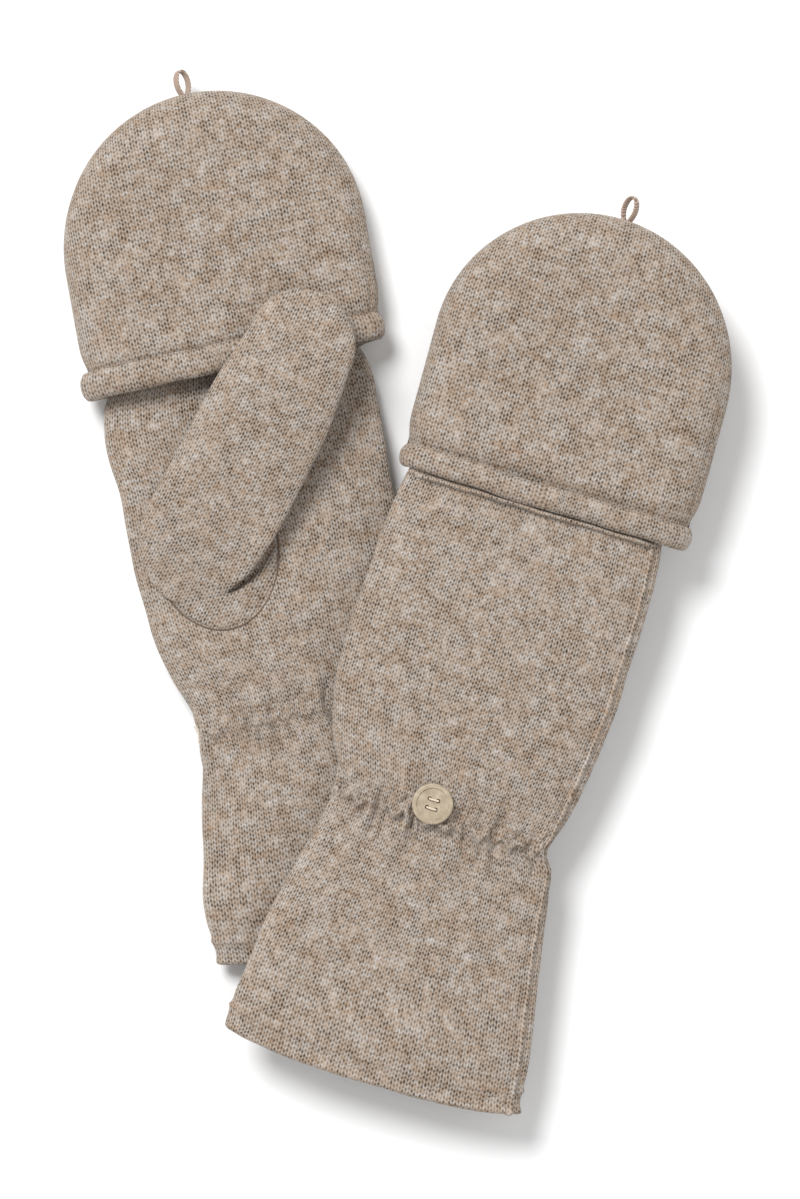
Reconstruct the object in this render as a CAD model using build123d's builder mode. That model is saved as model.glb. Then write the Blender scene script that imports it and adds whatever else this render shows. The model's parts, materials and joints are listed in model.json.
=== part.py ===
"""A pair of knitted flip-top mittens, lying as a pair on a flat surface, in millimetres.

Each mitten is modelled in its own frame: the origin is the middle of the wrist gather, +Y runs to the
fingertips, +X to the little finger and +Z out of the back of the hand. The right mitten is then laid back
up, over the cuff of the left one, which is the same mitten mirrored and laid palm up.
"""

from build123d import *

import os
from collections import namedtuple
from math import atan2, cos, degrees, hypot, radians, sin, sqrt

# Knitted cloth
wall = 1.6  # one layer of the knit
turned_layer = 0.8  # the inner layer of a turned hem, pressed thinner
layer_gap = 0.15  # between layers that lie on each other
clear = 0.4  # between pieces that move past each other

# Hand and cuff: the lengths along Y, and the widths across X
right_cuff_length = 87.0  # wrist gather to cuff mouth
left_cuff_length = 80.0  # the left cuff lies a little rucked up
hand_length = 113.0  # wrist gather to the seam that holds the hood
finger_band = 12.0  # the open finger band past that seam
heel_y = 23.0
palm_y = 53.0
cuff_width = 107.5
flare_width = 88.0
wrist_width = 79.0
heel_width = 89.0
palm_width = 96.0
knuckle_width = 92.5
finger_taper = 10.5  # how much narrower the finger opening is than the knuckles
hem_height = 9.0

# Depths along Z, from the frame's mid plane
hand_back = 6.0
hand_palm = -7.0
wrist_back = 5.0
wrist_palm = -6.0
cuff_palm = -5.5
finger_palm = -4.0

# Hood
hood_length = 104.0  # hood seam to the tip of the dome
hood_ease = 6.75  # room between hood and knuckles, on each side
swing_clearance = 2.0  # between the finger band and the hood's palm panel as the hood turns
hood_shift = -0.5  # the hood's middle, across
hood_rounding = 10.0
rim_height = 10.0
rim_thickness = 3.0
rim_proud = 1.5  # how far the rolled rim stands out of the hood
palm_rim_lead = 7.0  # the rim starts this much nearer the fingertips on the palm side
seam_cord_radius = 1.1
seam_margin = 7.0  # bare width at each end of the hood seam

# Loop at the tip of the hood
loop_length = 10.4
loop_width = 5.8
loop_ribbon = 3.0
loop_thickness = 0.9
loop_turn = 35.0
loop_shift = 0.5

# Thumb
thumb_root_x = -19.3
thumb_root_y = 69.5
thumb_turn = 39.0  # from the mitten's length, towards the little finger
thumb_over_rim = 1.0  # gap where the thumb lies over the hood's rim
thumb_length = 88.0
thumb_root_width = 45.0
thumb_tip_width = 37.0
thumb_thickness = 9.4
gusset_x = -21.0
gusset_y = 65.0
gusset_width = 45.0
gusset_length = 62.0

# Wrist elastic and button
elastic_width = 6.0
elastic_thickness = 0.8
button_x = -7.0
button_y = 6.0
button_diameter = 14.2
button_thickness = 2.4
button_rim = 1.5
button_recess = 0.5
button_hole_diameter = 1.4
button_hole_pitch = 3.1
thread_diameter = 0.6
shank_root_diameter = 2.0
shank_height = 1.8

# How the pair lies
left_turn = 12.1
right_turn = -16.85
right_tilt = 2.0  # the right mitten's fingers lie higher than its cuff, propped on the thumb
right_roll = 1.7  # and its thumb side higher than its little finger, on the left mitten's edge
left_wrist = (-28.6, -40.0)
right_wrist = (18.3, -79.2)

# Worked out from the values above
finger_width = knuckle_width - finger_taper
hood_width = knuckle_width + 2 * hood_ease
hood_back = hand_back + clear + layer_gap + wall
hinge_y = hand_length
hinge_z = hood_back
finger_swing = hypot(finger_band, hinge_z - finger_palm)  # the finger band's reach from the hinge
hood_palm = hood_back - finger_swing - swing_clearance - wall
hood_middle = (hood_back + hood_palm) / 2
rim_y = hinge_y + seam_cord_radius + clear
tip_y = hinge_y + hood_length
rest_back = hood_back + rim_proud  # the plane that a mitten on its back lies on
gusset_height = thumb_thickness + clear - hand_palm / 2  # from the palm's mid depth to the thumb's outer face

Station = namedtuple("Station", "y centre width palm back")


def stations(cuff_length):
    """The cross-sections of hand and cuff, from the cuff's mouth to the finger opening."""
    return [
        Station(-cuff_length, -0.8, cuff_width, cuff_palm, rest_back),
        Station(-0.31 * cuff_length, -2.5, flare_width, wrist_palm + 1.0, wrist_back + 2.0),
        Station(0, -2.6, wrist_width, wrist_palm, wrist_back),
        Station(heel_y, -3.4, heel_width, hand_palm + 0.5, hand_back - 0.8),
        Station(palm_y, -4.0, palm_width, hand_palm, hand_back),
        Station(hinge_y, -2.6, knuckle_width, hand_palm, hand_back),
        Station(hinge_y + finger_band, -2.0, finger_width, finger_palm, hand_back),
    ]


def station_at(y, cuff_length):
    """The cross-section at any Y, in line between its two neighbours; past an end it stays as it is there."""
    known = stations(cuff_length)
    y_inside = min(max(y, known[0].y), known[-1].y)
    for low, high in zip(known, known[1:]):
        if y_inside <= high.y:
            share = (y_inside - low.y) / (high.y - low.y)
            return Station(y, *[a + share * (b - a) for a, b in zip(low[1:], high[1:])])


def tube(first_y, last_y, inset, cuff_length):
    """The hand's form between two Y values, taken in all round: solid, with elliptic cross-sections."""
    between = [s.y for s in stations(cuff_length) if first_y < s.y < last_y]
    with BuildPart() as form:
        for y in [first_y, *between, last_y]:
            s = station_at(y, cuff_length)
            with BuildSketch(Plane.XZ.offset(-y)):
                with Locations((s.centre, (s.back + s.palm) / 2)):
                    Ellipse(s.width / 2 - inset, (s.back - s.palm) / 2 - inset)
        loft(ruled=True)
    return form.part


def band(first_y, last_y, inset, thickness, cuff_length):
    """A ring of cloth inside the hand's form."""
    outer = tube(first_y, last_y, inset, cuff_length)
    inner = tube(first_y, last_y, inset + thickness, cuff_length)
    with BuildPart() as ring:
        add(outer)
        add(inner, mode=Mode.SUBTRACT)
    return ring.part


def back_height(x, y, cuff_length):
    """The height of the back of the hand at a point."""
    s = station_at(y, cuff_length)
    across = (x - s.centre) / (s.width / 2)
    return (s.back + s.palm) / 2 + (s.back - s.palm) / 2 * sqrt(1 - across**2)


rim_from_root = rim_y + palm_rim_lead - thumb_root_y - thumb_tip_width / 2 * sin(radians(thumb_turn))
rim_depth = hand_palm - hood_palm + rim_proud + thumb_over_rim - clear
thumb_pitch = degrees(atan2(rim_depth, rim_from_root / cos(radians(thumb_turn))))  # it climbs over the rim
thumb_along = Vector(sin(radians(thumb_turn)), cos(radians(thumb_turn)), 0)
thumb_across = Vector(-cos(radians(thumb_turn)), sin(radians(thumb_turn)), 0)
thumb_plane = Plane(
    origin=(thumb_root_x, thumb_root_y, hand_palm - clear),
    x_dir=thumb_across,
    z_dir=-thumb_along * sin(radians(thumb_pitch)) - Vector(0, 0, cos(radians(thumb_pitch))),
)
thumb_mouth = Plane(origin=thumb_plane.origin - thumb_plane.y_dir * clear, z_dir=thumb_plane.y_dir)


def dome(inset):
    """The gusset's form: half an ellipsoid and more, standing out of the palm."""
    radii = (gusset_width / 2 - inset, gusset_length / 2 - inset, gusset_height - inset)
    ellipsoid = scale(Sphere(1), by=radii)
    with BuildPart() as form:
        with Locations((gusset_x, gusset_y, hand_palm / 2)):
            add(ellipsoid)
        split(bisect_by=thumb_mouth, keep=Keep.BOTTOM)
    return form.part


def body_wrap(cuff_length):
    """Hand and cuff: one piece of knit wrapped round and open at both ends, with the thumb's opening."""
    end_y = hinge_y + finger_band
    outer = tube(-cuff_length, end_y, 0, cuff_length)
    inner = tube(-cuff_length - wall, end_y + wall, wall, cuff_length)
    with BuildPart() as wrap:
        add(outer)
        add(inner, mode=Mode.SUBTRACT)
        with BuildSketch(Plane.XY) as thumb_hole:
            with Locations((gusset_x, gusset_y)):
                Ellipse(gusset_width / 2 - 2 * wall, gusset_length / 2 - 2 * wall)
            split(bisect_by=Plane(thumb_mouth.origin, z_dir=thumb_along), keep=Keep.BOTTOM)
        extrude(thumb_hole.sketch, amount=2 * hand_palm, mode=Mode.SUBTRACT)
        with BuildSketch(Plane.XY.offset(0)) as thread_hole:
            with Locations((button_x, button_y)):
                Circle(shank_root_diameter / 2)
        extrude(thread_hole.sketch, amount=2 * hand_back, mode=Mode.SUBTRACT)
    return wrap.part


def cuff_hem(cuff_length):
    """The turned-up layer inside the cuff's mouth."""
    return band(-cuff_length, -cuff_length + hem_height, wall + layer_gap, turned_layer, cuff_length)


def finger_hem(cuff_length):
    """The turned-in layer inside the finger opening."""
    end_y = hinge_y + finger_band
    return band(end_y - hem_height, end_y, wall + layer_gap, turned_layer, cuff_length)


def wrist_elastic(cuff_length):
    """The elastic that gathers the wrist, inside."""
    half = elastic_width / 2
    return band(-half, half, wall + layer_gap, elastic_thickness, cuff_length)


def hood_seam(cuff_length):
    """The seam that holds the hood on the back of the hand: a cord on the hinge axis, on a stitched foot."""
    seam_length = knuckle_width - 2 * seam_margin
    hand = tube(hinge_y - hem_height, hinge_y + hem_height, 0, cuff_length)
    with BuildPart() as seam:
        with BuildSketch(Plane.YZ.offset(hood_shift - seam_length / 2)):
            with Locations((hinge_y, hinge_z)):
                Circle(seam_cord_radius)
            with Locations((hinge_y, hinge_z / 2)):
                Rectangle(1.2 * seam_cord_radius, hinge_z)
        extrude(amount=seam_length)
        add(hand, mode=Mode.SUBTRACT)
    return seam.part


def thumb_gusset(cuff_length):
    """The domed root of the thumb, sewn into the palm, open to the hand and to the thumb."""
    outer, inner = dome(0), dome(wall)
    hand = tube(0, hinge_y, 0, cuff_length)
    with BuildPart() as gusset:
        add(outer)
        add(inner, mode=Mode.SUBTRACT)
        add(hand, mode=Mode.SUBTRACT)
        split(bisect_by=Plane.XY, keep=Keep.BOTTOM)
    return gusset.part


def thumb_form(inset, start):
    """The thumb's form: flat, round-ended and rounded all along its edge."""
    root, tip = thumb_root_width / 2 - inset, thumb_tip_width / 2 - inset
    straight = thumb_length - thumb_tip_width / 2
    thickness = thumb_thickness - 2 * inset
    with BuildPart() as form:
        with BuildSketch(thumb_plane.offset(inset)):
            with BuildLine():
                Line((-root, start), (-tip, straight))
                ThreePointArc((-tip, straight), (0, straight + tip), (tip, straight))
                Polyline((tip, straight), (root, start), (-root, start))
            make_face()
        extrude(amount=thickness)
        root_faces = form.faces().filter_by(
            lambda face: abs(thumb_plane.to_local_coords(face.center()).Y - start) < 1e-3
        )
        flat_faces = form.faces().filter_by(Axis(thumb_plane.origin, thumb_plane.z_dir))
        root_edges = root_faces.edges()
        fillet([e for e in flat_faces.edges() if e not in root_edges], radius=0.46 * thickness)
    return form.part


def thumb_sleeve():
    """The thumb past its root: a closed tube, open only towards the gusset."""
    outer, inner = thumb_form(0, 0), thumb_form(wall, -wall)
    with BuildPart() as sleeve:
        add(outer)
        add(inner, mode=Mode.SUBTRACT)
    return sleeve.part


def hood_form(inset):
    """The hood's form: straight sides, a half-round dome, and rounded edges."""
    radius = hood_width / 2 - inset
    dome_y = tip_y - hood_width / 2
    with BuildPart() as form:
        with BuildSketch(Plane.XY.offset(hood_palm + inset)):
            with BuildLine():
                Line((hood_shift - radius, hinge_y), (hood_shift - radius, dome_y))
                ThreePointArc(
                    (hood_shift - radius, dome_y),
                    (hood_shift, dome_y + radius),
                    (hood_shift + radius, dome_y),
                )
                Polyline(
                    (hood_shift + radius, dome_y),
                    (hood_shift + radius, hinge_y),
                    (hood_shift - radius, hinge_y),
                )
            make_face()
        extrude(amount=hood_back - hood_palm - 2 * inset)
        mouth_edges = form.faces().sort_by(Axis.Y)[0].edges()
        flat_faces = form.faces().filter_by(Axis.Z)
        fillet([e for e in flat_faces.edges() if e not in mouth_edges], radius=hood_rounding - inset)
    return form.part


def rim_plane(along):
    """The slanting plane across the hood that is so far along the rim on the back."""
    slant = Vector(0, palm_rim_lead, hood_palm - hood_back)
    return Plane(origin=(0, rim_y + along, hood_back), x_dir=(1, 0, 0), z_dir=Vector(1, 0, 0).cross(slant))


def hood_panel(keep):
    """One panel of the hood: the back one on top of the seam round the dome, or the palm one under it."""
    outer, inner = hood_form(0), hood_form(wall)
    with BuildPart() as panel:
        add(outer)
        add(inner, mode=Mode.SUBTRACT)
        split(bisect_by=rim_plane(rim_height), keep=Keep.TOP)
        split(bisect_by=Plane.XY.offset(hood_middle), keep=keep)
    return panel.part


def hood_rim():
    """The rolled rim round the hood's opening."""
    outer = (hood_width + 2 * rim_proud, hood_back - hood_palm + 2 * rim_proud)
    inner = (outer[0] - 2 * rim_thickness, outer[1] - 2 * rim_thickness)
    outer_rounding = hood_rounding + rim_proud
    with BuildPart() as rim:
        with BuildSketch(Plane.XZ.offset(-hinge_y)):
            with Locations((hood_shift, hood_middle)):
                RectangleRounded(*outer, outer_rounding)
                RectangleRounded(*inner, outer_rounding - rim_thickness, mode=Mode.SUBTRACT)
        extrude(amount=-(palm_rim_lead + 3 * rim_height))
        split(bisect_by=rim_plane(0), keep=Keep.TOP)
        split(bisect_by=rim_plane(rim_height), keep=Keep.BOTTOM)
        ends = rim.faces().filter_by(Axis(rim_plane(0).origin, rim_plane(0).z_dir))
        fillet(ends.edges(), radius=0.4 * rim_thickness)
    return rim.part


loop_plane = Plane(
    origin=(loop_shift, tip_y + clear + loop_length / 2, hood_middle),
    x_dir=(cos(radians(loop_turn)), 0, sin(radians(loop_turn))),
    z_dir=(-sin(radians(loop_turn)), 0, cos(radians(loop_turn))),
)


def hood_loop():
    """The ribbon loop at the tip of the hood, which catches on the button when the hood is turned back."""
    with BuildPart() as loop:
        with BuildSketch(loop_plane):
            SlotOverall(loop_length, loop_width, rotation=90)
            SlotOverall(
                loop_length - 2 * loop_thickness,
                loop_width - 2 * loop_thickness,
                rotation=90,
                mode=Mode.SUBTRACT,
            )
        extrude(amount=loop_ribbon / 2, both=True)
    return loop.part


def button_plane(cuff_length):
    """The plane of the button's underside."""
    return Plane(origin=(button_x, button_y, back_height(button_x, button_y, cuff_length) + shank_height))


def wrist_button(cuff_length):
    """A four-hole button with a raised rim."""
    with BuildPart() as button:
        with BuildSketch(button_plane(cuff_length)):
            Circle(button_diameter / 2)
        extrude(amount=button_thickness)
        with BuildSketch(button.faces().sort_by(Axis.Z)[-1]):
            Circle(button_diameter / 2 - button_rim)
        extrude(amount=-button_recess, mode=Mode.SUBTRACT)
        outer_edges = button.edges().filter_by(GeomType.CIRCLE).sort_by(SortBy.RADIUS)[-2:]
        fillet(outer_edges, radius=0.35 * button_rim)
        with BuildSketch(button_plane(cuff_length)):
            with GridLocations(button_hole_pitch, button_hole_pitch, 2, 2):
                Circle(button_hole_diameter / 2)
        extrude(amount=button_thickness, mode=Mode.SUBTRACT)
    return button.part


def button_thread(cuff_length):
    """The thread that holds the button: a shank through the cloth and two stitches through the four holes."""
    under = button_plane(cuff_length)
    shank_top = under.offset(-clear)
    root = under.offset(-shank_height - 1.5 * wall)
    stitch_z = button_thickness - button_recess + clear
    with BuildPart() as thread:
        with BuildSketch(root):
            Circle(shank_root_diameter / 2)
        extrude(amount=1.5 * wall + shank_height - clear - 2 * thread_diameter)
        with BuildSketch(shank_top.offset(-2 * thread_diameter)):
            Circle(shank_root_diameter / 2)
        with BuildSketch(shank_top):
            Circle(button_hole_pitch)
        loft()
        with BuildSketch(shank_top):
            with GridLocations(button_hole_pitch, button_hole_pitch, 2, 2):
                Circle(thread_diameter / 2)
        extrude(amount=clear + stitch_z)
        with BuildSketch(under.offset(stitch_z)):
            with GridLocations(button_hole_pitch, button_hole_pitch, 1, 2):
                SlotCenterToCenter(button_hole_pitch, thread_diameter)
        extrude(amount=thread_diameter)
    return thread.part


def mitten(cuff_length):
    """Every piece of the right mitten, in its own frame."""
    return {
        "body_wrap": body_wrap(cuff_length),
        "cuff_hem": cuff_hem(cuff_length),
        "finger_hem": finger_hem(cuff_length),
        "wrist_elastic": wrist_elastic(cuff_length),
        "hood_seam": hood_seam(cuff_length),
        "thumb_gusset": thumb_gusset(cuff_length),
        "thumb_sleeve": thumb_sleeve(),
        "hood_back_panel": hood_panel(Keep.TOP),
        "hood_palm_panel": hood_panel(Keep.BOTTOM),
        "hood_rim": hood_rim(),
        "hood_loop": hood_loop(),
        "wrist_button": wrist_button(cuff_length),
        "button_thread": button_thread(cuff_length),
    }


def lowest(parts, place):
    """How low the parts reach, once placed."""
    return min((place * p).bounding_box().min.Z for p in parts.values())


def raise_clear(upper, place, lower):
    """The upper mitten's place, raised until its palm side is clear of the lower mitten's hand."""
    palm_side = Compound(children=[upper["body_wrap"], upper["thumb_gusset"]])
    while (place * palm_side).distance_to(lower["body_wrap"]) < clear:
        place = Pos(0, 0, clear) * place
    return place


def lay_down():
    """Both mittens as they lie: their pieces and the location that carries a mitten's frame to its place."""
    right = mitten(right_cuff_length)
    left = {name: mirror(p, about=Plane.XY) for name, p in mitten(left_cuff_length).items()}
    left_place = Pos(*left_wrist, rest_back) * Rot(Z=left_turn)
    right_place = Pos(*right_wrist, 0) * Rot(Z=right_turn) * Rot(X=right_tilt) * Rot(Y=right_roll)
    right_place = Pos(0, 0, -lowest(right, right_place)) * right_place
    left_laid = {name: left_place * p for name, p in left.items()}
    right_place = raise_clear(right, right_place, left_laid)
    placed = [*left_laid.values(), *[right_place * p for p in right.values()]]
    box = Compound(children=placed).bounding_box()
    centring = Pos(-box.center().X, -box.center().Y, 0)
    return {"left": (left, centring * left_place), "right": (right, centring * right_place)}


pair = lay_down()
os.makedirs("parts", exist_ok=True)
for side, (pieces, place) in pair.items():
    for name, piece in pieces.items():
        with BuildPart() as laid:
            add(place * piece)
        laid.part.label = f"{side}_{name}"
        export_step(laid.part, f"parts/{side}_{name}.step")
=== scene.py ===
"""A pair of knitted flip-top mittens on a pale floor, seen from straight above.

Every mitten is made in its own frame, in millimetres: the origin is the middle of the wrist gather, +x runs to
the little finger, +y to the fingertips and +z out of the back of the hand. Frame.world() carries it to metres.
"""
import json
import math
import bpy
import numpy as np
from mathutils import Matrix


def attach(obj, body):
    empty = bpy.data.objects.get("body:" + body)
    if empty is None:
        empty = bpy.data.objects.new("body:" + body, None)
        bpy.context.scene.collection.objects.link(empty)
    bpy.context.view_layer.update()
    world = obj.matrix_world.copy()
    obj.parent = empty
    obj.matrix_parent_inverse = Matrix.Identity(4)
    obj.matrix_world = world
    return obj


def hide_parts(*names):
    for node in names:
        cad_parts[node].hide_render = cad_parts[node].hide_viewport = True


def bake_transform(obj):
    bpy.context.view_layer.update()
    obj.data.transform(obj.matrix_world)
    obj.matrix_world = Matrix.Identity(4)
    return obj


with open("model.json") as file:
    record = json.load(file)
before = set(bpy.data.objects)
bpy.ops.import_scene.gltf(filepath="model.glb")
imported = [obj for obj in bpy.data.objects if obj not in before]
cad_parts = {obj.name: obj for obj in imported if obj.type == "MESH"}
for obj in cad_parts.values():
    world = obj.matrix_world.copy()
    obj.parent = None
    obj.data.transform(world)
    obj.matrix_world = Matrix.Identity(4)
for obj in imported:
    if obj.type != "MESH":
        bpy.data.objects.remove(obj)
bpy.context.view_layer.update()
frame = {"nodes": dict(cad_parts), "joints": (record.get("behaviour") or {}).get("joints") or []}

MM = 0.001
MM_PER_METRE = 1000.0
rng = np.random.default_rng(7)

# ---------------------------------------------------------------- sizes, in millimetres
CLOTH = 1.7  # thickness of a layer of knit
HINGE_Y = 113.0  # the seam that the hood turns about
HOOD_BACK, HOOD_PALM = 8.15, -12.5  # z of the hood's two faces
HOOD_MIDDLE = (HOOD_BACK + HOOD_PALM) / 2
HOOD_HALF = (HOOD_BACK - HOOD_PALM) / 2
HOOD_TIP = {"left": 218.4, "right": 217.2}
HOOD_RADIUS = {"left": 53.0, "right": 52.2}
HOOD_SHIFT = {"left": 0.3, "right": -0.3}
HOOD_LEAN = {"left": 1.9, "right": -1.7}
HOOD_REACH = 19.0  # how far in from its outline the hood's edge is rounded
MOUTH = {"left": (-0.9, 50.9), "right": (0.2, 49.6)}  # middle and half width of the hood's mouth
RIM_SLANT = 7.0  # how much nearer the fingertips the rim is on the palm side
RESTING = 9.6  # z of the surface that the left mitten's rim lies on
LOOP_HINGE = (0.5, 220.3, -2.2)
LOOP_SIDE = {"left": 1.4, "right": -1.4}
LOOP_TURN = math.radians(35.0)
FINGER_END = 125.0
CUFF_LENGTH = {"left": 79.0, "right": 88.5}
CUFF_HEM = 8.3  # from the cuff's end to the hem's stitch line
HEM_INSET = 2.7  # thickness of the turned-up cuff
BUTTON = (-7.0, 6.0)
DRAWN = {"left": 0.6, "right": 1.2}  # how strongly the elastic draws the wrist in
THUMB_TURN = math.radians(39.0)
THUMB_ROOT = (-19.3, 69.5)
THUMB_START, THUMB_FULL = 12, 24  # along the thumb: where its tube starts, and where it is at its full width
THUMB_END = 130.0
THUMB_TIP = 18.5  # length of the rounded tip
THUMB_BLEND = (-9, 12)  # from its root, two distances along the thumb
PALM_Z = -7.0

# Powers of the rounded cross-sections: 2 is an ellipse, and more is squarer
HAND_POWER = 2.35
HOOD_POWER = 2.3
THUMB_POWER = 2.3

# Columns of both outlines: y, thumb-side edge, little-finger edge, palm depth, back depth.
# In the cuff's, y is a share of its length.
CUFF_OUTLINE = np.array([
    (-1.00, -53.4, 54.0, -5.5, 9.65),
    (-0.75, -52.4, 50.4, -5.6, 8.6),
    (-0.45, -48.6, 45.4, -5.8, 7.6),
    (-0.20, -44.2, 42.4, -6.0, 6.2),
    (-0.07, -42.2, 40.4, -6.0, 5.6),
    (0.00, -41.4, 36.6, -6.0, 5.2),
])
HAND_OUTLINE = np.array([
    (8.0, -42.6, 38.6, -6.0, 5.4),
    (22.0, -47.8, 41.2, -6.6, 5.8),
    (38.0, -51.2, 43.2, -7.0, 6.1),
    (60.0, -52.2, 44.2, -7.0, 6.2),
    (85.0, -51.0, 44.3, -6.6, 6.2),
    (106.0, -49.2, 43.8, -4.9, 6.1),
    (116.0, -47.6, 42.4, -4.3, 5.9),
    (125.0, -43.4, 39.2, -3.6, 5.8),
])


# ---------------------------------------------------------------- helpers
def smooth(low, high, x):
    """0 below low, 1 above high, and a smooth step between."""
    t = np.clip((np.asarray(x, float) - low) / (high - low), 0, 1)
    return t * t * (3 - 2 * t)


def bell(x, width):
    """A bump of height 1 at 0."""
    return np.exp(-((np.asarray(x, float) / width) ** 2))


def rounded(wave, power):
    """A sine or cosine to a power, with its sign kept. Under 1 it makes a circle squarer."""
    return np.sign(wave) * np.abs(wave) ** power


def full_turn(count):
    """Angles once round, without the last one that is the first again."""
    return np.linspace(0, 2 * np.pi, count, endpoint=False)


def running(steps):
    """The running total of some steps, from 0."""
    return np.concatenate([[0], np.cumsum(steps)])


def ring_length(x, z, x_scale=1.0, z_scale=1.0):
    """The running length round a closed ring, from 0 to all of it."""
    return running(np.hypot(np.diff(np.append(x, x[0])) * x_scale, np.diff(np.append(z, z[0])) * z_scale))


def zigzag(s, period):
    """A wave of straight runs from -1 to 1."""
    return 4 * np.abs((s / period) % 1 - 0.5) - 1


def curve_through(xs, ys, x):
    """A smooth curve through points, with no overshoot."""
    xs, ys = np.asarray(xs, float), np.asarray(ys, float)
    slope = np.diff(ys) / np.diff(xs)
    tangent = np.zeros_like(ys)
    tangent[0], tangent[-1] = slope[0], slope[-1]
    same = slope[:-1] * slope[1:] > 0
    both = np.where(same, slope[:-1] + slope[1:], 1)
    tangent[1:-1] = np.where(same, 2 * slope[:-1] * slope[1:] / both, 0)
    x = np.clip(x, xs[0], xs[-1])
    i = np.clip(np.searchsorted(xs, x) - 1, 0, len(xs) - 2)
    step = xs[i + 1] - xs[i]
    t = (x - xs[i]) / step
    return ((1 + 2 * t) * (1 - t) ** 2 * ys[i] + t * (1 - t) ** 2 * step * tangent[i]
            + t * t * (3 - 2 * t) * ys[i + 1] + t * t * (t - 1) * step * tangent[i + 1])


class Waves:
    """A smooth random field over the cloth, made of a few sine waves."""

    def __init__(self, count, shortest, longest):
        self.angle = rng.uniform(0, 2 * np.pi, count)
        self.length = rng.uniform(shortest, longest, count)
        self.phase = rng.uniform(0, 2 * np.pi, count)

    def __call__(self, u, v):
        total = 0
        for a, length, p in zip(self.angle, self.length, self.phase):
            total = total + np.sin(2 * np.pi * (u * np.cos(a) + v * np.sin(a)) / length + p)
        return total / math.sqrt(len(self.angle))


class Frame:
    """Carries a mitten's own millimetres to the model's metres, worked out from two of its joints."""

    def __init__(self, side):
        joints = {j["name"]: j for j in frame["joints"]}
        flip, swing = joints[f"{side}_hood_flip"], joints[f"{side}_loop_swing"]
        sign = 1 if side == "right" else -1
        hinge = np.array(flip["pos_m"])
        x = np.array(flip["axis"]) * sign
        to_loop = np.array(swing["pos_m"]) - hinge
        to_loop = to_loop - x * np.dot(to_loop, x)
        to_loop /= np.linalg.norm(to_loop)
        up = np.cross(x, to_loop) * sign
        angle = math.atan2(LOOP_HINGE[2] - HOOD_BACK, LOOP_HINGE[1] - HINGE_Y)
        self.side = side
        self.mirrored = side == "left"
        self.x = x
        self.y = math.cos(angle) * to_loop - math.sin(angle) * up
        self.z = math.sin(angle) * to_loop + math.cos(angle) * up
        self.origin = hinge - (self.y * HINGE_Y + self.z * HOOD_BACK) * MM

    def world(self, points):
        """Points of the mitten's frame, in the model's metres."""
        points = np.asarray(points, float) * MM
        return self.origin + points[..., :1] * self.x + points[..., 1:2] * self.y + points[..., 2:] * self.z


def add_object(name, data):
    """A new object in the scene."""
    made = bpy.data.objects.new(name, data)
    bpy.context.scene.collection.objects.link(made)
    return made


def surface(place, name, points, knit, closed_rows=False, closed_columns=False):
    """A mesh through a grid of points (rows, columns, 3), with the knit's coordinates as its UV map."""
    rows, columns = points.shape[:2]
    world = place.world(points).reshape(-1, 3)
    i = np.arange(rows if closed_rows else rows - 1)
    j = np.arange(columns if closed_columns else columns - 1)
    i, j = np.meshgrid(i, j, indexing="ij")
    i2, j2 = (i + 1) % rows, (j + 1) % columns
    corners = [i * columns + j, i * columns + j2, i2 * columns + j2, i2 * columns + j]
    quads = np.stack(corners, -1).reshape(-1, 4)
    corner_i = np.stack([i, i, i + 1, i + 1], -1).reshape(-1, 4)
    corner_j = np.stack([j, j + 1, j + 1, j], -1).reshape(-1, 4)
    uv = knit[corner_i, corner_j]
    if place.mirrored:
        quads, uv = quads[:, ::-1], uv[:, ::-1]
    mesh = bpy.data.meshes.new(name)
    mesh.from_pydata(world.tolist(), [], quads.tolist())
    layer = mesh.uv_layers.new(name="knit")
    layer.data.foreach_set("uv", (uv * MM).astype(np.float32).ravel())
    mesh.polygons.foreach_set("use_smooth", [True] * len(mesh.polygons))
    mesh.update()
    return add_object(name, mesh)


def along_normals(points, height, closed_columns):
    """Moves a grid of points along its own normals, the cross product of the ways round and along."""
    if closed_columns:
        around = np.roll(points, -1, 1) - np.roll(points, 1, 1)
    else:
        around = np.gradient(points, axis=1)
    along = np.gradient(points, axis=0)
    normal = np.cross(around, along)
    normal /= np.linalg.norm(normal, axis=-1, keepdims=True) + 1e-12
    return points + normal * height[..., None]


def dress(piece, material, slot, body, *nodes):
    """Gives a piece its material, the body that it rides on and the CAD nodes that it stands for. The slot is not
    used.
    """
    piece.data.materials.append(material)
    if body:  # the loop and the thumb have none
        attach(piece, body)
    side = piece.name.split("_")[0]
    if nodes:
        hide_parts(*[f"{side}_{node}" for node in nodes])


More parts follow.
